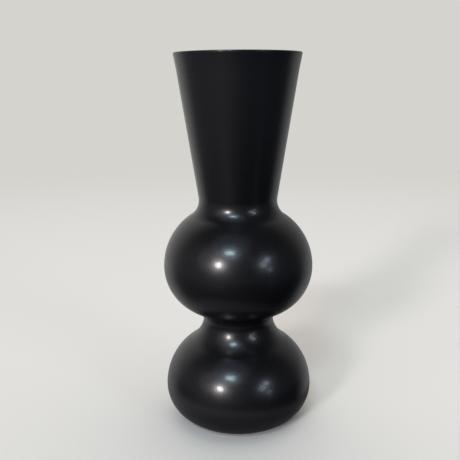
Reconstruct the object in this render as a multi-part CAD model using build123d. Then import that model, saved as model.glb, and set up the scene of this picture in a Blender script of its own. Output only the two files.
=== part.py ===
from build123d import *
import os
from math import asin, atan2, cos, degrees, hypot, radians, sin, sqrt

# Double gourd vase of stoneware, thrown in three sections that are luted together with slip.
# Millimetres, +Z up, origin at the middle of the plane that the foot rim rests on.

# Widest radius of both bulbs, which line up down the side of the vase
bulb_radius = 81.2

# Lower bulb: the arcs above and below its widest level, and the outside of the foot rim
lower_bulb_top_arc = 62.0
lower_bulb_bottom_arc = 38.5
foot_radius = 51.0

# Waist between the bulbs: narrowest radius, the hollow curves below and above it, and the slope
# (degrees from upright) of the wall where the upper hollow takes over from the lower one
waist_radius = 39.0
waist_lower_hollow = 36.0
waist_upper_hollow = 14.0
waist_turn = 15.5

# Upper bulb: the arcs below and above its widest level
upper_bulb_bottom_arc = 53.2
upper_bulb_top_arc = 65.8

# Neck: narrowest radius at its root, the hollow curve there, and a cone up to the turned-out lip
neck_root_radius = 42.2
neck_root_hollow = 20.7
neck_height = 152.5
neck_top_radius = 62.5
lip_turn_height = 22.0
lip_turn_arc = 400.0

# Clay: wall all over, base, and the turned foot under it
wall = 5.0
base_thickness = 5.5
floor_corner = 14.0
foot_rim_width = 7.0
foot_recess_depth = 2.5

# Luted joints: a tongue on the upper section stands in the lower section's collar, bedded in slip
tongue_depth = 5.0
slip_thickness = 0.6


def bulb_centre(bulb_arc):
    return bulb_radius - bulb_arc


def rise(bulb_arc, hollow, hollow_reach):
    # Height between a bulb's widest level and the centre of the hollow that its arc runs into
    return sqrt((bulb_arc + hollow) ** 2 - (hollow_reach - bulb_centre(bulb_arc)) ** 2)


def meeting_angle(bulb_arc, hollow_reach, height):
    # Direction from the bulb arc's centre to the hollow's centre, where the two arcs touch
    return degrees(atan2(height, hollow_reach - bulb_centre(bulb_arc)))


# How far the hollows' centres lie from the axis; the waist's two hollows touch inside each other
waist_step = waist_lower_hollow - waist_upper_hollow
waist_upper_reach = waist_radius + waist_upper_hollow
waist_lower_reach = waist_upper_reach + waist_step * cos(radians(waist_turn))
root_reach = neck_root_radius + neck_root_hollow

# Levels follow from the arcs being tangent, from the foot upwards
foot_reach = foot_radius - bulb_centre(lower_bulb_bottom_arc)
lower_level = sqrt(lower_bulb_bottom_arc**2 - foot_reach**2)
shoulder_rise = rise(lower_bulb_top_arc, waist_lower_hollow, waist_lower_reach)
shoulder_level = lower_level + shoulder_rise
waist_level = shoulder_level - waist_step * sin(radians(waist_turn))
underside_rise = rise(upper_bulb_bottom_arc, waist_upper_hollow, waist_upper_reach)
upper_level = waist_level + underside_rise
crown_rise = rise(upper_bulb_top_arc, neck_root_hollow, root_reach)
neck_level = upper_level + crown_rise
overall_height = neck_level + neck_height

# Angles at which each bulb arc hands over to a hollow
shoulder_angle = meeting_angle(lower_bulb_top_arc, waist_lower_reach, shoulder_rise)
underside_angle = meeting_angle(upper_bulb_bottom_arc, waist_upper_reach, -underside_rise)
crown_angle = meeting_angle(upper_bulb_top_arc, root_reach, crown_rise)

# The cone is the tangent from the start of the lip to the hollow at the neck's root
lip_start = (neck_top_radius, overall_height - lip_turn_height)
cone_run = lip_start[0] - root_reach
cone_rise = lip_start[1] - neck_level
taper = degrees(atan2(cone_run, cone_rise) + asin(neck_root_hollow / hypot(cone_run, cone_rise)))

# The lip turns out on an arc that is tangent to the cone, and ends in a full round
lip_radius = wall / 2
lip_turn_centre = (
    lip_start[0] + lip_turn_arc * cos(radians(taper)),
    lip_start[1] - lip_turn_arc * sin(radians(taper)),
)
lip_level = overall_height - lip_radius
lip_angle = degrees(asin((lip_level - lip_turn_centre[1]) / (lip_turn_arc + lip_radius)))
lip_centre = (lip_turn_centre[0] - (lip_turn_arc + lip_radius) * cos(radians(lip_angle)), lip_level)

floor_level = foot_recess_depth + base_thickness


def gourd_line(inset, lowest):
    # One line of the wall, from its lowest level to the lip: arcs keep their centres at any inset,
    # so the wall stays even and every arc stays tangent to the next
    bottom_arc = lower_bulb_bottom_arc - inset
    bottom_angle = -degrees(asin((lower_level - lowest) / bottom_arc))
    root_hollow = CenterArc(
        (root_reach, neck_level),
        neck_root_hollow + inset,
        180 + crown_angle,
        -crown_angle - taper,
    )
    lip_turn = CenterArc(lip_turn_centre, lip_turn_arc + inset, 180 - taper, taper - lip_angle)
    return [
        CenterArc(
            (bulb_centre(lower_bulb_bottom_arc), lower_level),
            bottom_arc,
            bottom_angle,
            -bottom_angle,
        ),
        CenterArc(
            (bulb_centre(lower_bulb_top_arc), lower_level),
            lower_bulb_top_arc - inset,
            0,
            shoulder_angle,
        ),
        CenterArc(
            (waist_lower_reach, shoulder_level),
            waist_lower_hollow + inset,
            180 + shoulder_angle,
            waist_turn - shoulder_angle,
        ),
        CenterArc(
            (waist_upper_reach, waist_level),
            waist_upper_hollow + inset,
            180 + waist_turn,
            underside_angle - waist_turn,
        ),
        CenterArc(
            (bulb_centre(upper_bulb_bottom_arc), upper_level),
            upper_bulb_bottom_arc - inset,
            underside_angle,
            -underside_angle,
        ),
        CenterArc(
            (bulb_centre(upper_bulb_top_arc), upper_level),
            upper_bulb_top_arc - inset,
            0,
            crown_angle,
        ),
        root_hollow,
        Line(root_hollow @ 1, lip_turn @ 0),
        lip_turn,
    ]


def wall_section():
    # Half section of the whole vase: outside, lip, inside, floor and the recess of the turned foot
    outside = gourd_line(0, 0)
    inside = gourd_line(wall, floor_level)
    lip = CenterArc(lip_centre, lip_radius, -lip_angle, 180)
    recess_radius = foot_radius - foot_rim_width - foot_recess_depth
    base = Polyline(
        inside[0] @ 0,
        (0, floor_level),
        (0, foot_recess_depth),
        (recess_radius, foot_recess_depth),
        (foot_radius - foot_rim_width, 0),
        outside[0] @ 0,
    )
    section = make_face([*outside, lip, *inside, *base.edges()])
    corner = section.vertices().sort_by_distance(inside[0] @ 0)[0]
    return fillet(corner, floor_corner)


# Room round the vase that the section's cutting regions reach into
beyond = 2 * bulb_radius


def region_below(level, throat_radius):
    # Everything under the slip of a joint: shoulder outside, socket for the tongue inside
    shoulder = level - slip_thickness / 2
    socket = throat_radius - wall / 2 + slip_thickness / 2
    seat = shoulder - tongue_depth
    corners = [(0, -beyond), (beyond, -beyond), (beyond, shoulder)]
    corners += [(socket, shoulder), (socket, seat), (0, seat)]
    return make_face(Polyline(*corners, close=True))


def region_above(level, throat_radius):
    # Everything over the slip of a joint: shoulder outside, tongue hanging down inside
    shoulder = level + slip_thickness / 2
    tongue = throat_radius - wall / 2 - slip_thickness / 2
    tip = shoulder - tongue_depth
    top = overall_height + beyond
    corners = [(0, top), (0, tip), (tongue, tip), (tongue, shoulder)]
    corners += [(beyond, shoulder), (beyond, top)]
    return make_face(Polyline(*corners, close=True))


def turned(section):
    return revolve(Plane.XZ * section, Axis.Z)


clay = wall_section()
under_waist = region_below(waist_level, waist_radius)
over_waist = region_above(waist_level, waist_radius)
under_neck = region_below(neck_level, neck_root_radius)
over_neck = region_above(neck_level, neck_root_radius)

nodes = {
    "lower_bulb": turned(clay & under_waist),
    "waist_slip": turned(clay - under_waist - over_waist),
    "upper_bulb": turned(clay & over_waist & under_neck),
    "neck_slip": turned(clay - under_neck - over_neck),
    "flared_neck": turned(clay & over_neck),
}

os.makedirs("parts", exist_ok=True)
for name, solid in nodes.items():
    export_step(solid, f"parts/{name}.step")
print(f"height {overall_height:.2f}, widest levels {lower_level:.2f} and {upper_level:.2f}")
print(f"joints at {waist_level:.2f} and {neck_level:.2f}, neck taper {taper:.2f} degrees")
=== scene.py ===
import bpy
import bmesh
import math
from mathutils import Euler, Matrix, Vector


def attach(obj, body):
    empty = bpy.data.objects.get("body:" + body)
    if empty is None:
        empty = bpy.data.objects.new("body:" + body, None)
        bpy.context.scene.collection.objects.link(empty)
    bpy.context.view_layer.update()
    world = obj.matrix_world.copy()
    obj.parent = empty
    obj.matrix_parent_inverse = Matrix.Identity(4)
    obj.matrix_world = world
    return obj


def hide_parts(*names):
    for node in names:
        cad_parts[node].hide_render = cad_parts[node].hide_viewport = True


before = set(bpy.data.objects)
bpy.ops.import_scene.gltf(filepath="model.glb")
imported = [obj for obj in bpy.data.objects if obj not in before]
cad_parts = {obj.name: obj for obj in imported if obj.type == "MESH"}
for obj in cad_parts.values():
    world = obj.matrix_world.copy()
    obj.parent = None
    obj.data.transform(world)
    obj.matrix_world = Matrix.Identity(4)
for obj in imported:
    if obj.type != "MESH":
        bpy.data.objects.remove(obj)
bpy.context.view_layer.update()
print("frame loaded:", len(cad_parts), "solids")
scene = bpy.context.scene
scene.view_settings.view_transform = "Standard"
mm = 0.001  # in metres


# small helpers

def hexColour(text):  # sRGB hex to linear, with full alpha
    parts = [int(text[i:i + 2], 16) / 255 for i in (1, 3, 5)]
    return [p / 12.92 if p <= 0.04045 else ((p + 0.055) / 1.055) ** 2.4 for p in parts] + [1.0]


# one node with its settings and links; a colour Mix has its share at 0, its colours at 6 and 7
def addNode(tree, kind, settings=None, inputs=None):
    node = tree.nodes.new(kind)
    for name, value in (settings or {}).items():
        setattr(node, name, value)
    for key, value in (inputs or {}).items():
        if isinstance(value, bpy.types.NodeSocket):
            tree.links.new(value, node.inputs[key])
        else:
            node.inputs[key].default_value = value
    return node


def freshMaterial(name):
    material = bpy.data.materials.new(name)
    material.use_nodes = True
    material.node_tree.nodes.clear()
    return material, material.node_tree


# Satin black glaze on stoneware: dipped in an iron and manganese glaze and fired, so it is glassy
# underneath and its skin is full of crystals far too small to see. That gives the eye one deep,
# even black, highlights with a small bright core in a wide soft halo, and no sharp reflections.
satinGlaze = {
    "black": "#0f0f11",
    "thinBlack": "#141416",      # where the glaze ran a little thinner
    "cloud": {"size": 48.0, "detail": 2.0, "roughness": 0.45},   # mm, drift of tone, a hand wide
    "mottle": {"size": 7.0, "detail": 3.0, "roughness": 0.55},   # mm, where the crystals lie closer
    "peel": {"size": 2.4, "detail": 1.0, "roughness": 0.4},      # mm, a fired glaze's faint orange peel
    "peelDepth": 0.005,          # mm
    "mottleSpan": (0.3, 0.7),    # of the noise, from the smoothest to the roughest
    "smoothest": 0.27,
    "roughest": 0.31,
    "ior": 1.5,
    "skin": 0.2,                 # share of the surface where the glassy skin still shines
    "skinRoughness": 0.1,
}


def makeSatinGlaze(spec):
    material, tree = freshMaterial("satinBlackGlaze")
    place = addNode(tree, "ShaderNodeTexCoord").outputs["Object"]
    noises = {}
    for name in ("cloud", "mottle", "peel"):
        noises[name] = addNode(tree, "ShaderNodeTexNoise", {}, {
            "Vector": place, "Scale": 1 / (spec[name]["size"] * mm), "Detail": spec[name]["detail"],
            "Roughness": spec[name]["roughness"]}).outputs[0]
    tone = addNode(tree, "ShaderNodeMix", {"data_type": "RGBA"}, {
        0: noises["cloud"], 6: hexColour(spec["black"]), 7: hexColour(spec["thinBlack"])})
    start, end = spec["mottleSpan"]
    gloss = addNode(tree, "ShaderNodeMapRange", {}, {
        "Value": noises["mottle"], "From Min": start, "From Max": end,
        "To Min": spec["smoothest"], "To Max": spec["roughest"]})
    bump = addNode(tree, "ShaderNodeBump", {}, {
        "Height": noises["peel"], "Distance": spec["peelDepth"] * mm})
    shader = addNode(tree, "ShaderNodeBsdfPrincipled", {}, {
        "Base Color": tone.outputs[2], "Roughness": gloss.outputs[0], "IOR": spec["ior"],
        "Coat Weight": spec["skin"], "Coat Roughness": spec["skinRoughness"],
        "Normal": bump.outputs[0]})
    addNode(tree, "ShaderNodeOutputMaterial", {}, {"Surface": shader.outputs[0]})
    return material


# Bare stoneware: the foot rim, wiped clean of glaze so that it doesn't stick to the kiln shelf.
# It fires to a dull dark brown with fine sand in it.
bareStoneware = {
    "body": "#3a322c",
    "sand": "#6b5f52",
    "gritSize": 0.9,             # mm, drawn coarser than the real grit so that it shows
    "gritDetail": 3.0,
    "gritRoughness": 0.6,
    "gritDepth": 0.08,           # mm
    "sandSpan": (0.55, 0.75),    # of the noise, from clay to sand
    "roughness": 0.85,
}


def makeBareStoneware(spec):
    material, tree = freshMaterial("bareStoneware")
    place = addNode(tree, "ShaderNodeTexCoord").outputs["Object"]
    grit = addNode(tree, "ShaderNodeTexNoise", {}, {
        "Vector": place, "Scale": 1 / (spec["gritSize"] * mm), "Detail": spec["gritDetail"],
        "Roughness": spec["gritRoughness"]})
    start, end = spec["sandSpan"]
    sandShare = addNode(tree, "ShaderNodeMapRange", {}, {
        "Value": grit.outputs[0], "From Min": start, "From Max": end})
    tone = addNode(tree, "ShaderNodeMix", {"data_type": "RGBA"}, {
        0: sandShare.outputs[0], 6: hexColour(spec["body"]), 7: hexColour(spec["sand"])})
    bump = addNode(tree, "ShaderNodeBump", {}, {
        "Height": grit.outputs[0], "Distance": spec["gritDepth"] * mm})
    shader = addNode(tree, "ShaderNodeBsdfPrincipled", {}, {
        "Base Color": tone.outputs[2], "Roughness": spec["roughness"], "Normal": bump.outputs[0]})
    addNode(tree, "ShaderNodeOutputMaterial", {}, {"Surface": shader.outputs[0]})
    return material


# Fired slip: the same clay, brushed on wet as thin as cream, so it is finer and a little paler.
firedSlip = {
    "slip": "#453c34",
    "drySlip": "#544a40",
    "streakSize": 3.0,           # mm, brush streaks
    "streakDetail": 2.0,
    "roughness": 0.9,
}


def makeFiredSlip(spec):
    material, tree = freshMaterial("firedSlip")
    place = addNode(tree, "ShaderNodeTexCoord").outputs["Object"]
    streak = addNode(tree, "ShaderNodeTexNoise", {}, {
        "Vector": place, "Scale": 1 / (spec["streakSize"] * mm), "Detail": spec["streakDetail"]})
    tone = addNode(tree, "ShaderNodeMix", {"data_type": "RGBA"}, {
        0: streak.outputs[0], 6: hexColour(spec["slip"]), 7: hexColour(spec["drySlip"])})
    shader = addNode(tree, "ShaderNodeBsdfPrincipled", {}, {
        "Base Color": tone.outputs[2], "Roughness": spec["roughness"]})
    addNode(tree, "ShaderNodeOutputMaterial", {}, {"Surface": shader.outputs[0]})
    return material


glazeMaterial = makeSatinGlaze(satinGlaze)
clayMaterial = makeBareStoneware(bareStoneware)
slipMaterial = makeFiredSlip(firedSlip)
print("materials made:", len(bpy.data.materials))


# The potter's wheel: a tree that turns a half outline into a thrown section

def makeWheel():
    tree = bpy.data.node_groups.new("thrownOnWheel", "GeometryNodeTree")
    sockets = {
        "Outline": "Geometry", "Facets": "Int", "Closed": "Int", "Weld": "Float", "Waver": "Float",
        "Waver Size": "Float", "Waver Detail": "Float", "Crease": "Float", "Bare Below": "Float",
        "Finish": "Material", "Bare Clay": "Material"}
    for name, kind in sockets.items():
        tree.interface.new_socket(name, in_out="INPUT", socket_type="NodeSocket" + kind)
    tree.interface.new_socket("Section", in_out="OUTPUT", socket_type="NodeSocketGeometry")
    given = addNode(tree, "NodeGroupInput").outputs
    place = addNode(tree, "GeometryNodeInputPosition").outputs[0]

    # a flat grid with a column for each facet and a row for each point of the outline
    gridSize = 1.0  # across, with its middle at the origin
    points = addNode(tree, "GeometryNodeAttributeDomainSize", {"component": "MESH"}, {
        0: given["Outline"]}).outputs["Point Count"]
    rows = addNode(tree, "ShaderNodeMath", {"operation": "ADD"}, {0: points, 1: given["Closed"]})
    columns = addNode(tree, "ShaderNodeMath", {"operation": "ADD"}, {0: given["Facets"], 1: 1.0})
    grid = addNode(tree, "GeometryNodeMeshGrid", {}, {
        "Size X": gridSize, "Size Y": gridSize, "Vertices X": columns.outputs[0],
        "Vertices Y": rows.outputs[0]})
    flat = addNode(tree, "ShaderNodeSeparateXYZ", {}, {0: place})

    # each row takes its radius and height from its point, and each column its turn
    lastRow = addNode(tree, "ShaderNodeMath", {"operation": "SUBTRACT"}, {0: rows.outputs[0], 1: 1.0})
    share = addNode(tree, "ShaderNodeMath", {"operation": "ADD"}, {
        0: flat.outputs["Y"], 1: gridSize / 2})
    row = addNode(tree, "ShaderNodeMath", {"operation": "MULTIPLY"}, {
        0: share.outputs[0], 1: lastRow.outputs[0]})
    wholeRow = addNode(tree, "ShaderNodeMath", {"operation": "ROUND"}, {0: row.outputs[0]})
    pointIndex = addNode(tree, "ShaderNodeMath", {"operation": "MODULO"}, {
        0: wholeRow.outputs[0], 1: points})
    point = addNode(tree, "GeometryNodeSampleIndex", {"data_type": "FLOAT_VECTOR"}, {
        "Geometry": given["Outline"], "Value": place, "Index": pointIndex.outputs[0]})
    half = addNode(tree, "ShaderNodeSeparateXYZ", {}, {0: point.outputs[0]})
    fromSeam = addNode(tree, "ShaderNodeMath", {"operation": "ADD"}, {
        0: flat.outputs["X"], 1: gridSize / 2})
    turn = addNode(tree, "ShaderNodeMath", {"operation": "MULTIPLY"}, {
        0: fromSeam.outputs[0], 1: 2 * math.pi})
    cosTurn = addNode(tree, "ShaderNodeMath", {"operation": "COSINE"}, {0: turn.outputs[0]})
    sinTurn = addNode(tree, "ShaderNodeMath", {"operation": "SINE"}, {0: turn.outputs[0]})
    xPlace = addNode(tree, "ShaderNodeMath", {"operation": "MULTIPLY"}, {
        0: half.outputs["X"], 1: cosTurn.outputs[0]})
    yPlace = addNode(tree, "ShaderNodeMath", {"operation": "MULTIPLY"}, {
        0: half.outputs["X"], 1: sinTurn.outputs[0]})
    turned = addNode(tree, "ShaderNodeCombineXYZ", {}, {
        "X": xPlace.outputs[0], "Y": yPlace.outputs[0], "Z": half.outputs["Z"]})
    body = addNode(tree, "GeometryNodeSetPosition", {}, {
        "Geometry": grid.outputs["Mesh"], "Position": turned.outputs[0]})
    body = addNode(tree, "GeometryNodeMergeByDistance", {}, {
        "Geometry": body.outputs[0], "Distance": given["Weld"]})

    # hands leave a waver of a fraction of a millimetre, always inwards from the outline
    often = addNode(tree, "ShaderNodeMath", {"operation": "DIVIDE"}, {0: 1.0, 1: given["Waver Size"]})
    lump = addNode(tree, "ShaderNodeTexNoise", {}, {
        "Vector": place, "Scale": often.outputs[0], "Detail": given["Waver Detail"]})
    depth = addNode(tree, "ShaderNodeMath", {"operation": "MULTIPLY"}, {
        0: lump.outputs[0], 1: given["Waver"]})
    level = addNode(tree, "ShaderNodeVectorMath", {"operation": "MULTIPLY"}, {
        0: place, 1: (-1.0, -1.0, 0.0)})
    inward = addNode(tree, "ShaderNodeVectorMath", {"operation": "NORMALIZE"}, {0: level.outputs[0]})
    push = addNode(tree, "ShaderNodeVectorMath", {"operation": "SCALE"}, {
        0: inward.outputs[0], "Scale": depth.outputs[0]})
    body = addNode(tree, "GeometryNodeSetPosition", {}, {
        "Geometry": body.outputs[0], "Offset": push.outputs[0]})

    # smooth all over, with a crease at every true corner
    body = addNode(tree, "GeometryNodeSetShadeSmooth", {"domain": "FACE"}, {
        "Geometry": body.outputs[0], "Shade Smooth": True})
    bend = addNode(tree, "GeometryNodeInputMeshEdgeAngle")
    sharp = addNode(tree, "FunctionNodeCompare", {"operation": "GREATER_THAN"}, {
        0: bend.outputs[0], 1: given["Crease"]})
    body = addNode(tree, "GeometryNodeSetShadeSmooth", {"domain": "EDGE"}, {
        "Geometry": body.outputs[0], "Selection": sharp.outputs[0], "Shade Smooth": False})

    # glaze all over, and bare clay where the foot rim was wiped
    body = addNode(tree, "GeometryNodeRealizeInstances", {}, {"Geometry": body.outputs[0]})
    body = addNode(tree, "GeometryNodeSetMaterial", {}, {
        "Geometry": body.outputs[0], "Material": given["Finish"]})
    height = addNode(tree, "ShaderNodeSeparateXYZ", {}, {0: place})
    wiped = addNode(tree, "FunctionNodeCompare", {"operation": "LESS_THAN"}, {
        0: height.outputs["Z"], 1: given["Bare Below"]})
    body = addNode(tree, "GeometryNodeSetMaterial", {}, {
        "Geometry": body.outputs[0], "Selection": wiped.outputs[0], "Material": given["Bare Clay"]})
    addNode(tree, "NodeGroupOutput", {}, {0: body.outputs[0]})
    return tree


wheel = makeWheel()
throwing = {
    "Facets": 256,
    "Weld": 0.002 * mm,          # points closer than this are one
    "Waver": 0.22 * mm,          # at its deepest
    "Waver Size": 58.0 * mm,     # about a palm's width
    "Waver Detail": 1.0,
    "Crease": math.radians(28),  # a sharper bend than this is a corner
    "Bare Below": 0.5 * mm,      # the wiped foot rim
}


def throwSection(name, outline, closed, finish, nodeName):
    mesh = bpy.data.meshes.new(name)
    edges = [(i, i + 1) for i in range(len(outline) - 1)]
    mesh.from_pydata([(r * mm, 0.0, z * mm) for r, z in outline], edges, [])
    piece = bpy.data.objects.new(name, mesh)
    scene.collection.objects.link(piece)
    turning = piece.modifiers.new("turning", "NODES")
    turning.node_group = wheel
    settings = {**throwing, "Closed": int(closed), "Finish": finish, "Bare Clay": clayMaterial}
    for item in wheel.interface.items_tree:
        if item.in_out == "INPUT" and item.name in settings:
            turning[item.identifier] = settings[item.name]
    depsgraph = bpy.context.evaluated_depsgraph_get()
    thrown = bpy.data.meshes.new_from_object(piece.evaluated_get(depsgraph), depsgraph=depsgraph)
    piece.modifiers.clear()
    piece.data = thrown
    thrown.name = name
    shell = bmesh.new()
    shell.from_mesh(thrown)
    bmesh.ops.recalc_face_normals(shell, faces=shell.faces)
    shell.to_mesh(thrown)
    openEdges = sum(1 for edge in shell.edges if len(edge.link_faces) != 2)
    shell.free()
    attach(piece, "root")
    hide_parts(nodeName)
    print("thrown", name, len(thrown.polygons), "faces, open edges", openEdges)


# Outline of the gourd in millimetres: arcs that touch, so the wall runs on without a break
gourd = {
    "bulbRadius": 81.2,
    "footRadius": 51.0,
    "lowerBottomArc": 38.5,
    "lowerTopArc": 62.0,
    "waistRadius": 39.0,
    "waistLowerHollow": 36.0,
    "waistUpperHollow": 14.0,
    "waistTurn": 15.5,           # degrees below level, where the upper hollow takes over from the lower
    "upperBottomArc": 53.2,
    "upperTopArc": 65.8,
    "rootRadius": 42.2,
    "rootHollow": 20.7,
    "neckHeight": 152.5,
    "neckTopRadius": 62.5,
    "lipTurnHeight": 22.0,
    "lipTurnArc": 400.0,
    "lipEdge": 1.2,              # round at the lip's outer edge
    "lipEdgeFrom": -3.0,         # degrees from level, where that round begins
    "lipWear": 0.01,             # off the flat top
    "wall": 5.0,
    "floorLevel": 8.0,
    "floorCorner": 14.0,
    "footRimWidth": 7.0,
    "recessDepth": 2.5,
    "bulbStep": 1.3,             # how far apart the points of the outline lie on a bulb
    "hollowStep": 0.6,           # and in a tight hollow
    "lipStep": 0.4,
    "lipEdgeStep": 0.15,
    "fewestSteps": 4,            # on any arc
    "samePoint": 0.001,          # ends of two runs closer than this are one point
    "clearOfCut": 0.01,          # points of a wall closer than this to a cut are left out
}


def arcPoints(centre, radius, start, end, step):
    length = math.radians(abs(end - start)) * radius
    count = max(gourd["fewestSteps"], math.ceil(length / step))
    turns = [math.radians(start + (end - start) * i / count) for i in range(count + 1)]
    return [(centre[0] + radius * math.cos(t), centre[1] + radius * math.sin(t)) for t in turns]


def joined(*runs):  # one line from runs that end where the next begins
    line = list(runs[0])
    for run in runs[1:]:
        line += run[1:] if math.dist(line[-1], run[0]) < gourd["samePoint"] else run
    return line


def touch(bulbArc, hollow, hollowReach):  # rise and angle from a bulb's middle to a hollow's centre
    reach = hollowReach - (gourd["bulbRadius"] - bulbArc)
    rise = math.sqrt((bulbArc + hollow) ** 2 - reach ** 2)
    return rise, math.degrees(math.atan2(rise, reach))


def bulbCentre(arc, level):
    return (gourd["bulbRadius"] - arc, level)


waistGap = gourd["waistLowerHollow"] - gourd["waistUpperHollow"]
waistTurn = math.radians(gourd["waistTurn"])
upperReach = gourd["waistRadius"] + gourd["waistUpperHollow"]
lowerReach = upperReach + waistGap * math.cos(waistTurn)
rootReach = gourd["rootRadius"] + gourd["rootHollow"]
shoulderRise, shoulderAngle = touch(gourd["lowerTopArc"], gourd["waistLowerHollow"], lowerReach)
undersideRise, undersideAngle = touch(gourd["upperBottomArc"], gourd["waistUpperHollow"], upperReach)
crownRise, crownAngle = touch(gourd["upperTopArc"], gourd["rootHollow"], rootReach)
footReach = gourd["footRadius"] - bulbCentre(gourd["lowerBottomArc"], 0)[0]
lowerLevel = math.sqrt(gourd["lowerBottomArc"] ** 2 - footReach ** 2)
hollowLevel = lowerLevel + shoulderRise
waistLevel = hollowLevel - waistGap * math.sin(waistTurn)
upperLevel = waistLevel + undersideRise
rootLevel = upperLevel + crownRise
topLevel = rootLevel + gourd["neckHeight"]

# the cone of the neck is the tangent from the lip's turn to the hollow at its root
rootCentre = (rootReach, rootLevel)
coneTop = (gourd["neckTopRadius"], topLevel - gourd["lipTurnHeight"])
coneRun, coneRise = coneTop[0] - rootCentre[0], coneTop[1] - rootCentre[1]
taper = math.degrees(
    math.atan2(coneRun, coneRise) + math.asin(gourd["rootHollow"] / math.hypot(coneRun, coneRise)))
lipRound = gourd["wall"] / 2
lipTurnCentre = (
    coneTop[0] + gourd["lipTurnArc"] * math.cos(math.radians(taper)),
    coneTop[1] - gourd["lipTurnArc"] * math.sin(math.radians(taper)))
lipAngle = math.degrees(
    math.asin((topLevel - lipRound - lipTurnCentre[1]) / (gourd["lipTurnArc"] + lipRound)))


def wallLine(inset):  # the wall from the lower bulb's widest level to the lip, at a depth in the clay
    bulb, hollow = gourd["bulbStep"], gourd["hollowStep"]
    turn = 180 + gourd["waistTurn"]
    cone = [
        (centre[0] - (radius + inset) * math.cos(math.radians(taper)),
         centre[1] + (radius + inset) * math.sin(math.radians(taper)))
        for centre, radius in (
            (rootCentre, gourd["rootHollow"]), (lipTurnCentre, gourd["lipTurnArc"]))]
    steps = math.ceil(math.dist(*cone) / bulb)
    straight = [
        tuple(a + (b - a) * i / steps for a, b in zip(*cone)) for i in range(steps + 1)]
    return joined(
        arcPoints(bulbCentre(gourd["lowerTopArc"], lowerLevel), gourd["lowerTopArc"] - inset,
                  0, shoulderAngle, bulb),
        arcPoints((lowerReach, hollowLevel), gourd["waistLowerHollow"] + inset,
                  180 + shoulderAngle, turn, hollow),
        arcPoints((upperReach, waistLevel), gourd["waistUpperHollow"] + inset,
                  turn, 180 - undersideAngle, hollow),
        arcPoints(bulbCentre(gourd["upperBottomArc"], upperLevel), gourd["upperBottomArc"] - inset,
                  -undersideAngle, 0, bulb),
        arcPoints(bulbCentre(gourd["upperTopArc"], upperLevel), gourd["upperTopArc"] - inset,
                  0, crownAngle, bulb),
        arcPoints(rootCentre, gourd["rootHollow"] + inset, 180 + crownAngle, 180 - taper, hollow),
        straight,
        arcPoints(lipTurnCentre, gourd["lipTurnArc"] + inset, 180 - taper, 180 - lipAngle, bulb))


def radiusAt(line, level):  # of a wall line, which rises all the way
    for (r0, z0), (r1, z1) in zip(line, line[1:]):
        if z0 <= level <= z1:
            return r0 + (r1 - r0) * (level - z0) / (z1 - z0)
    return line[-1][0]


def between(line, low, high):  # the stretch of a wall line from one level to another
    clear = gourd["clearOfCut"]
    inner = [p for p in line if low + clear < p[1] < high - clear]
    return [(radiusAt(line, low), low)] + inner + [(radiusAt(line, high), high)]


outside = wallLine(0)
inside = wallLine(gourd["wall"])

# Luted joints: the upper section's tongue stands in the lower one's collar with slip between,
# and the glaze closes over the seam inside and outside
luting = {
    "tongue": 5.0,
    "slip": 0.6,
    "glazeCover": 0.8,           # mm of wall that closes over the slip on either face
}


def lap(seam, throatRadius, side):  # steps of the joint from outside to inside; side -1 below, 1 above
    halfSlip = side * luting["slip"] / 2
    seat = seam - luting["tongue"]
    middle = throatRadius - gourd["wall"] / 2 - halfSlip
    outer = throatRadius - luting["glazeCover"]
    innerWall = radiusAt(inside, seat)
    inner = innerWall + luting["glazeCover"]
    return [
        (throatRadius, seam), (outer, seam), (outer, seam + halfSlip), (middle, seam + halfSlip),
        (middle, seat + halfSlip), (inner, seat + halfSlip), (inner, seat), (innerWall, seat)]


def slipOutline(seam, throatRadius):  # the four steps between the covers, along one face and back
    below, above = (lap(seam, throatRadius, side)[2:6] for side in (-1, 1))
    return below + above[::-1]


# the foot: recess, rim, and the floor inside with its rounded corner
bottomCentre = bulbCentre(gourd["lowerBottomArc"], lowerLevel)
footAngle = -math.degrees(math.asin(lowerLevel / gourd["lowerBottomArc"]))
cornerArc = gourd["floorCorner"]
innerArc = gourd["lowerBottomArc"] - gourd["wall"]
cornerLevel = gourd["floorLevel"] + cornerArc
cornerReach = math.sqrt((innerArc - cornerArc) ** 2 - (lowerLevel - cornerLevel) ** 2)
cornerAngle = math.degrees(math.atan2(cornerLevel - lowerLevel, cornerReach))
rimInside = gourd["footRadius"] - gourd["footRimWidth"]
footUnder = [
    (0.0, gourd["recessDepth"]), (rimInside - gourd["recessDepth"], gourd["recessDepth"]),
    (rimInside, 0.0), (gourd["footRadius"], 0.0)]
footWall = arcPoints(bottomCentre, gourd["lowerBottomArc"], footAngle, 0, gourd["bulbStep"])
floorInside = joined(
    [(0.0, gourd["floorLevel"])],
    arcPoints((bottomCentre[0] + cornerReach, cornerLevel), cornerArc, -90, cornerAngle,
              gourd["hollowStep"]),
    arcPoints(bottomCentre, innerArc, cornerAngle, 0, gourd["bulbStep"]))

# the lower section's line runs from axis to axis; the others close, so their last point is dropped
waistSeat = waistLevel - luting["tongue"]
rootSeat = rootLevel - luting["tongue"]
lowerOutline = joined(
    footUnder, footWall, between(outside, lowerLevel, waistLevel),
    lap(waistLevel, gourd["waistRadius"], -1),
    between(inside, lowerLevel, waistSeat)[::-1], floorInside[::-1])
upperOutline = joined(
    lap(waistLevel, gourd["waistRadius"], 1)[::-1], between(outside, waistLevel, rootLevel),
    lap(rootLevel, gourd["rootRadius"], -1), between(inside, waistSeat, rootSeat)[::-1])[:-1]

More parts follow.
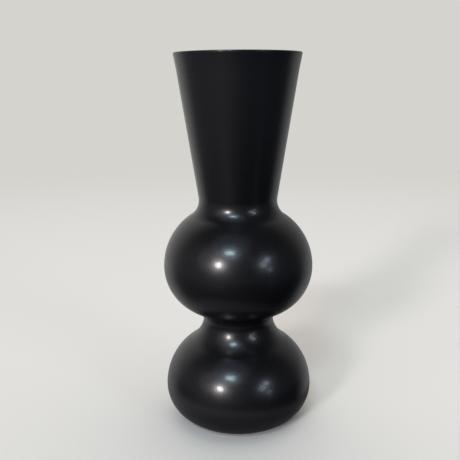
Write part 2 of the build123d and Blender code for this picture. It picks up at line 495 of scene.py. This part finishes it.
# the lip: an easing arc, a tight round at the outer edge, a flat top and a wide round inside
lipFoot = outside[-1]
rimLevel = topLevel - gourd["lipWear"]
lipSlope, edgeSlope = math.radians(lipAngle), math.radians(gourd["lipEdgeFrom"])
edgeRound = gourd["lipEdge"]
easeRise = rimLevel - lipFoot[1] - edgeRound * (1 - math.sin(edgeSlope))
easeArc = easeRise / (math.sin(lipSlope) + math.sin(edgeSlope))
easeCentre = (lipFoot[0] - easeArc * math.cos(lipSlope), lipFoot[1] + easeArc * math.sin(lipSlope))
edgeCentre = (easeCentre[0] + (easeArc - edgeRound) * math.cos(edgeSlope), rimLevel - edgeRound)
lipMiddle = lipTurnCentre[0] - (gourd["lipTurnArc"] + lipRound) * math.cos(lipSlope)
innerFrom = 90 + math.degrees(math.acos(1 - gourd["lipWear"] / lipRound))
lipOutline = joined(
    arcPoints(easeCentre, easeArc, -lipAngle, gourd["lipEdgeFrom"], gourd["lipStep"]),
    arcPoints(edgeCentre, edgeRound, gourd["lipEdgeFrom"], 90, gourd["lipEdgeStep"]),
    arcPoints((lipMiddle, topLevel - lipRound), lipRound, innerFrom, 180 - lipAngle, gourd["lipStep"]))
neckOutline = joined(
    lap(rootLevel, gourd["rootRadius"], 1)[::-1], between(outside, rootLevel, lipFoot[1]),
    lipOutline, between(inside, rootSeat, inside[-1][1])[::-1])[:-1]

throwSection("lowerBulb", lowerOutline, False, glazeMaterial, "lower_bulb")
throwSection("upperBulb", upperOutline, True, glazeMaterial, "upper_bulb")
throwSection("flaredNeck", neckOutline, True, glazeMaterial, "flared_neck")
throwSection("waistSlip", slipOutline(waistLevel, gourd["waistRadius"]), True, slipMaterial,
             "waist_slip")
throwSection("neckSlip", slipOutline(rootLevel, gourd["rootRadius"]), True, slipMaterial,
             "neck_slip")


# Pale studio floor. The camera sees it pale round the vase and melting into the backdrop further out,
# so no edge of it shows from any side. To every other ray it is a painted reflection: a dim floor, grey
# close to the vase, darker on the right as painted shade and pale behind, with a painted shadow round
# the foot and painted sheen, so that the black glaze has something dark to reflect
floor = {
    "reach": 6.0,                # m
    "sides": 64,
    "colour": "#f3f0ea",
    "backdrop": "#d5d3ce",
    "meltFade": (0.3, 2.2),      # m from the vase, where the floor starts and ends its melting
    # grey of a table top close to the vase, its middle set off to the left so that painted shade darkens
    # its right side
    "nearColour": "#a8a5a8",
    "nearMiddle": (-0.04, -0.05, 0.0),  # m
    "nearFade": (0.09, 0.2),     # m from that middle, where the grey starts and ends its fade
    # painted shade: this tone and the far, behind and far-behind tones below turn darker on the right
    "dimLeft": "#58575a",
    "dimRight": "#08080a",
    "dimSpan": (-0.25, 0.15),    # m along X, from the left tone to the right one
    "farLeft": "#7c7d86",
    "farRight": "#42444c",
    "farSpan": (-0.6, 0.5),
    "farFade": (0.6, 1.0),       # m from the vase
    "paintedSheenLines": [                  # painted sheen, lines out from the vase towards the lamps: sine of the way to the right, half width, tone
        (-0.57, 0.34, "#7a7a83"),
        (0.81, 0.12, "#50525b"),
    ],
    "paintedSheenFade": (0.35, 0.5),    # m from the vase
    "behindLeft": "#c1bfbe",
    "behindRight": "#b0b0b0",
    "behindSpan": (-0.3, 0.3),
    "behindFrom": (0.0, -0.08, 0.0),  # m, where the way round to the back is measured from
    "behindFade": (0.22, 0.6),   # sine of the way round from the sides
    "footFade": (0.1, 0.17),     # m from the vase, where the painted shadow round the foot ends and the pale ground behind begins
    "farBehindLeft": "#d8d5d1",
    "farBehindRight": "#b2b2b2",
    "farBehindSpan": (-0.3, 0.3),
    "farBehindFade": (0.45, 0.9),  # m from the vase
    "paintedSteepShadeLeft": "#d8d8d8",      # painted shade over all these tones where the floor is looked at from above, heavier on the right
    "paintedSteepShadeRight": "#6c6c6c",
    "paintedSteepShadeSpan": (-0.08, 0.18),
    "paintedSteepShadeFade": (0.52, 0.25),   # from a glance along the floor (1) to straight down (0)
    "roughness": 0.9,
    "specular": 0.1,
}


def makeFloor(spec):
    material, tree = freshMaterial("paleFloor")
    place = addNode(tree, "ShaderNodeNewGeometry").outputs["Position"]
    seen = addNode(tree, "ShaderNodeLightPath").outputs["Is Camera Ray"]
    glance = addNode(tree, "ShaderNodeLayerWeight").outputs["Facing"]
    across = addNode(tree, "ShaderNodeSeparateXYZ", {}, {0: place}).outputs["X"]
    fromVase = addNode(tree, "ShaderNodeVectorMath", {"operation": "LENGTH"}, {0: place}).outputs["Value"]
    fromNear = addNode(tree, "ShaderNodeVectorMath", {"operation": "DISTANCE"}, {
        0: place, 1: spec["nearMiddle"]}).outputs["Value"]
    outward = addNode(tree, "ShaderNodeVectorMath", {"operation": "SUBTRACT"}, {
        0: place, 1: spec["behindFrom"]})
    heading = addNode(tree, "ShaderNodeVectorMath", {"operation": "NORMALIZE"}, {0: outward.outputs[0]})
    wayRound = addNode(tree, "ShaderNodeSeparateXYZ", {}, {0: heading.outputs[0]}).outputs

    # the painted tones that the glaze reflects, each paler on the left and darker on the right as painted
    # shade
    tones = {}
    for zone in ("dim", "far", "behind", "farBehind", "paintedSteepShade"):
        start, end = spec[zone + "Span"]
        toRight = addNode(tree, "ShaderNodeMapRange", {}, {
            "Value": across, "From Min": start, "From Max": end})
        tones[zone] = addNode(tree, "ShaderNodeMix", {"data_type": "RGBA"}, {
            0: toRight.outputs[0], 6: hexColour(spec[zone + "Left"]),
            7: hexColour(spec[zone + "Right"])}).outputs[2]

    # and how far along each fade a place is
    measures = {
        "near": fromNear, "far": fromVase, "paintedSheen": fromVase, "behind": wayRound["Y"], "foot": fromVase,
        "farBehind": fromVase, "paintedSteepShade": glance, "melt": fromVase}
    shares = {}
    for zone, measure in measures.items():
        start, end = spec[zone + "Fade"]
        shares[zone] = addNode(tree, "ShaderNodeMapRange", {"interpolation_type": "SMOOTHSTEP"}, {
            "Value": measure, "From Min": start, "From Max": end}).outputs[0]

    # laid over each other from the vase outwards, then the painted sheen lines, then the ground behind
    layers = [(shares["near"], tones["dim"]), (shares["far"], tones["far"])]
    # painted sheen: a pale line on the floor towards each lamp
    for middle, halfWidth, paintedSheenTone in spec["paintedSheenLines"]:
        off = addNode(tree, "ShaderNodeMath", {"operation": "SUBTRACT"}, {0: wayRound["X"], 1: middle})
        aside = addNode(tree, "ShaderNodeMath", {"operation": "ABSOLUTE"}, {0: off.outputs[0]})
        inLine = addNode(tree, "ShaderNodeMapRange", {"interpolation_type": "SMOOTHSTEP"}, {
            "Value": aside.outputs[0], "From Min": halfWidth, "From Max": 0.0})
        paintedSheen = addNode(tree, "ShaderNodeMath", {"operation": "MULTIPLY"}, {
            0: inLine.outputs[0], 1: shares["paintedSheen"]})
        layers.append((paintedSheen.outputs[0], hexColour(paintedSheenTone)))
    # painted shadow: near the vase the foot share keeps the pale ground behind away, so the floor there
    # stays dim
    behind = addNode(tree, "ShaderNodeMath", {"operation": "MULTIPLY"}, {
        0: shares["behind"], 1: shares["foot"]})
    ground = addNode(tree, "ShaderNodeMix", {"data_type": "RGBA"}, {
        0: shares["farBehind"], 6: tones["behind"], 7: tones["farBehind"]})
    layers.append((behind.outputs[0], ground.outputs[2]))
    reflected = hexColour(spec["nearColour"])
    for share, tone in layers:
        reflected = addNode(tree, "ShaderNodeMix", {"data_type": "RGBA"}, {
            0: share, 6: reflected, 7: tone}).outputs[2]

    # painted sheen and shade: paler at a glance, darker from above, and darker again on the right
    reflected = addNode(tree, "ShaderNodeMix", {"data_type": "RGBA", "blend_type": "MULTIPLY"}, {
        0: shares["paintedSteepShade"], 6: reflected, 7: tones["paintedSteepShade"]}).outputs[2]

    # the pale floor that the camera sees
    shown = addNode(tree, "ShaderNodeMix", {"data_type": "RGBA"}, {
        0: seen, 6: reflected, 7: hexColour(spec["colour"])})
    matte = addNode(tree, "ShaderNodeBsdfPrincipled", {}, {
        "Base Color": shown.outputs[2], "Roughness": spec["roughness"],
        "Specular IOR Level": spec["specular"]})
    haze = addNode(tree, "ShaderNodeEmission", {}, {"Color": hexColour(spec["backdrop"])})
    melted = addNode(tree, "ShaderNodeMath", {"operation": "MULTIPLY"}, {0: shares["melt"], 1: seen})
    surface = addNode(tree, "ShaderNodeMixShader", {}, {
        0: melted.outputs[0], 1: matte.outputs[0], 2: haze.outputs[0]})
    addNode(tree, "ShaderNodeOutputMaterial", {}, {"Surface": surface.outputs[0]})

    turns = [2 * math.pi * i / spec["sides"] for i in range(spec["sides"])]
    points = [(spec["reach"] * math.cos(t), spec["reach"] * math.sin(t), 0.0) for t in turns]
    mesh = bpy.data.meshes.new("studioFloor")
    mesh.from_pydata(points, [], [tuple(range(spec["sides"]))])
    mesh.materials.append(material)
    sheet = bpy.data.objects.new("studioFloor", mesh)
    scene.collection.objects.link(sheet)


makeFloor(floor)

# Lamps: where each stands, seen from the vase. Azimuth 0 is towards the camera and plus is to the
# right; sizes are degrees across. The fill lights the floor and leaves no highlight on the glaze
lamps = {
    "warmKey": {"azimuth": -30.9, "height": 19.2, "size": 9.5, "strength": 1.35, "colour": "#fff8f9"},
    "coolLeft": {"azimuth": -20.5, "height": 42.4, "size": 8.0, "strength": 0.4, "colour": "#c9e6f2"},
    "coolRight": {"azimuth": -12.5, "height": 42.4, "size": 8.0, "strength": 0.4, "colour": "#c9e6f2"},
    "sideLeft": {"azimuth": 38.6, "height": 18.0, "size": 10.5, "strength": 0.18, "colour": "#dde9f4"},
    "sideHigh": {"azimuth": 47.0, "height": 24.2, "size": 9.0, "strength": 0.17, "colour": "#d6e2ff"},
    "sideLow": {"azimuth": 47.5, "height": 8.0, "size": 8.0, "strength": 0.06, "colour": "#d6e2f2"},
    "dimSky": {"azimuth": -19.0, "height": 54.0, "size": 52.0, "strength": 0.2, "colour": "#cbdaf4"},
    "leftGlow": {"azimuth": -48.0, "height": 26.0, "size": 40.0, "strength": 0.16, "colour": "#f0ecf4"},
    "fill": {"azimuth": 150.0, "height": 70.0, "size": 90.0, "strength": 1.3, "colour": "#fff9f4"},
}
lampDistance = 3.0  # m
for lampName, lamp in lamps.items():
    light = bpy.data.lights.new(lampName, "SUN")
    light.energy = lamp["strength"]
    light.angle = math.radians(lamp["size"])
    light.color = hexColour(lamp["colour"])[:3]
    holder = bpy.data.objects.new(lampName, light)
    side, up = math.radians(lamp["azimuth"]), math.radians(lamp["height"])
    towards = Vector((
        math.sin(side) * math.cos(up), -math.cos(side) * math.cos(up), math.sin(up)))
    holder.rotation_euler = towards.to_track_quat("Z", "Y").to_euler()
    holder.location = towards * lampDistance
    holder.visible_glossy = lampName != "fill"
    scene.collection.objects.link(holder)

# Dim room round the studio: paler on the left than on the right, dark overhead and pale behind the
# vase. The camera sees only the backdrop
room = {
    "frontLeft": "#79797d",
    "frontRight": "#46474a",
    "rightFade": (-0.3, 0.2),    # share of the way to the right
    "overhead": "#18191e",
    "roofFade": (0.35, 0.8),     # share of the way up
    "behindLeft": "#cdccc9",
    "behindRight": "#9b9a98",
    "behindFade": (0.09, 0.72),  # share of the way from the sides to straight behind
}


def makeRoom(spec):
    world = bpy.data.worlds.new("dimRoom")
    world.use_nodes = True
    tree = world.node_tree
    tree.nodes.clear()
    direction = addNode(tree, "ShaderNodeTexCoord").outputs["Generated"]
    way = addNode(tree, "ShaderNodeSeparateXYZ", {}, {0: direction}).outputs
    seen = addNode(tree, "ShaderNodeLightPath").outputs["Is Camera Ray"]
    shares = {}
    for zone, axis, shape in (
            ("right", "X", "LINEAR"), ("roof", "Z", "LINEAR"), ("behind", "Y", "SMOOTHSTEP")):
        start, end = spec[zone + "Fade"]
        shares[zone] = addNode(tree, "ShaderNodeMapRange", {"interpolation_type": shape}, {
            "Value": way[axis], "From Min": start, "From Max": end}).outputs[0]
    tones = {}
    for zone in ("front", "behind"):
        tones[zone] = addNode(tree, "ShaderNodeMix", {"data_type": "RGBA"}, {
            0: shares["right"], 6: hexColour(spec[zone + "Left"]),
            7: hexColour(spec[zone + "Right"])}).outputs[2]
    shown = tones["front"]
    for share, tone in (
            (shares["roof"], hexColour(spec["overhead"])), (shares["behind"], tones["behind"]),
            (seen, hexColour(floor["backdrop"]))):
        shown = addNode(tree, "ShaderNodeMix", {"data_type": "RGBA"}, {
            0: share, 6: shown, 7: tone}).outputs[2]
    glow = addNode(tree, "ShaderNodeBackground", {}, {"Color": shown})
    addNode(tree, "ShaderNodeOutputWorld", {}, {"Surface": glow.outputs[0]})
    return world


scene.world = makeRoom(room)
print("stage and lamps made:", len(lamps), "lamps")

# Camera at the photograph's place: a little below the lip, looking slightly down
view = {
    "place": (-8.75, -682.1, 373.3),  # mm
    "down": 13.17,                    # degrees
    "roll": -0.315,                   # degrees
    "frame": 460,                     # pixels across the square picture
    "focal": 644.5,                   # pixels
    "sensor": 36.0,                   # mm
    "clip": (0.05, 50.0),             # m, the nearest and the furthest that it sees
}
lens = bpy.data.cameras.new("vaseCamera")
lens.sensor_width = view["sensor"]
lens.lens = view["sensor"] * view["focal"] / view["frame"]
lens.clip_start, lens.clip_end = view["clip"]
camera = bpy.data.objects.new("vaseCamera", lens)
tilt = Euler((math.radians(90 - view["down"]), 0, 0)).to_quaternion()
camera.rotation_euler = (tilt @ Euler((0, 0, math.radians(view["roll"]))).to_quaternion()).to_euler()
camera.location = [v * mm for v in view["place"]]
scene.collection.objects.link(camera)
scene.camera = camera
print("camera placed")
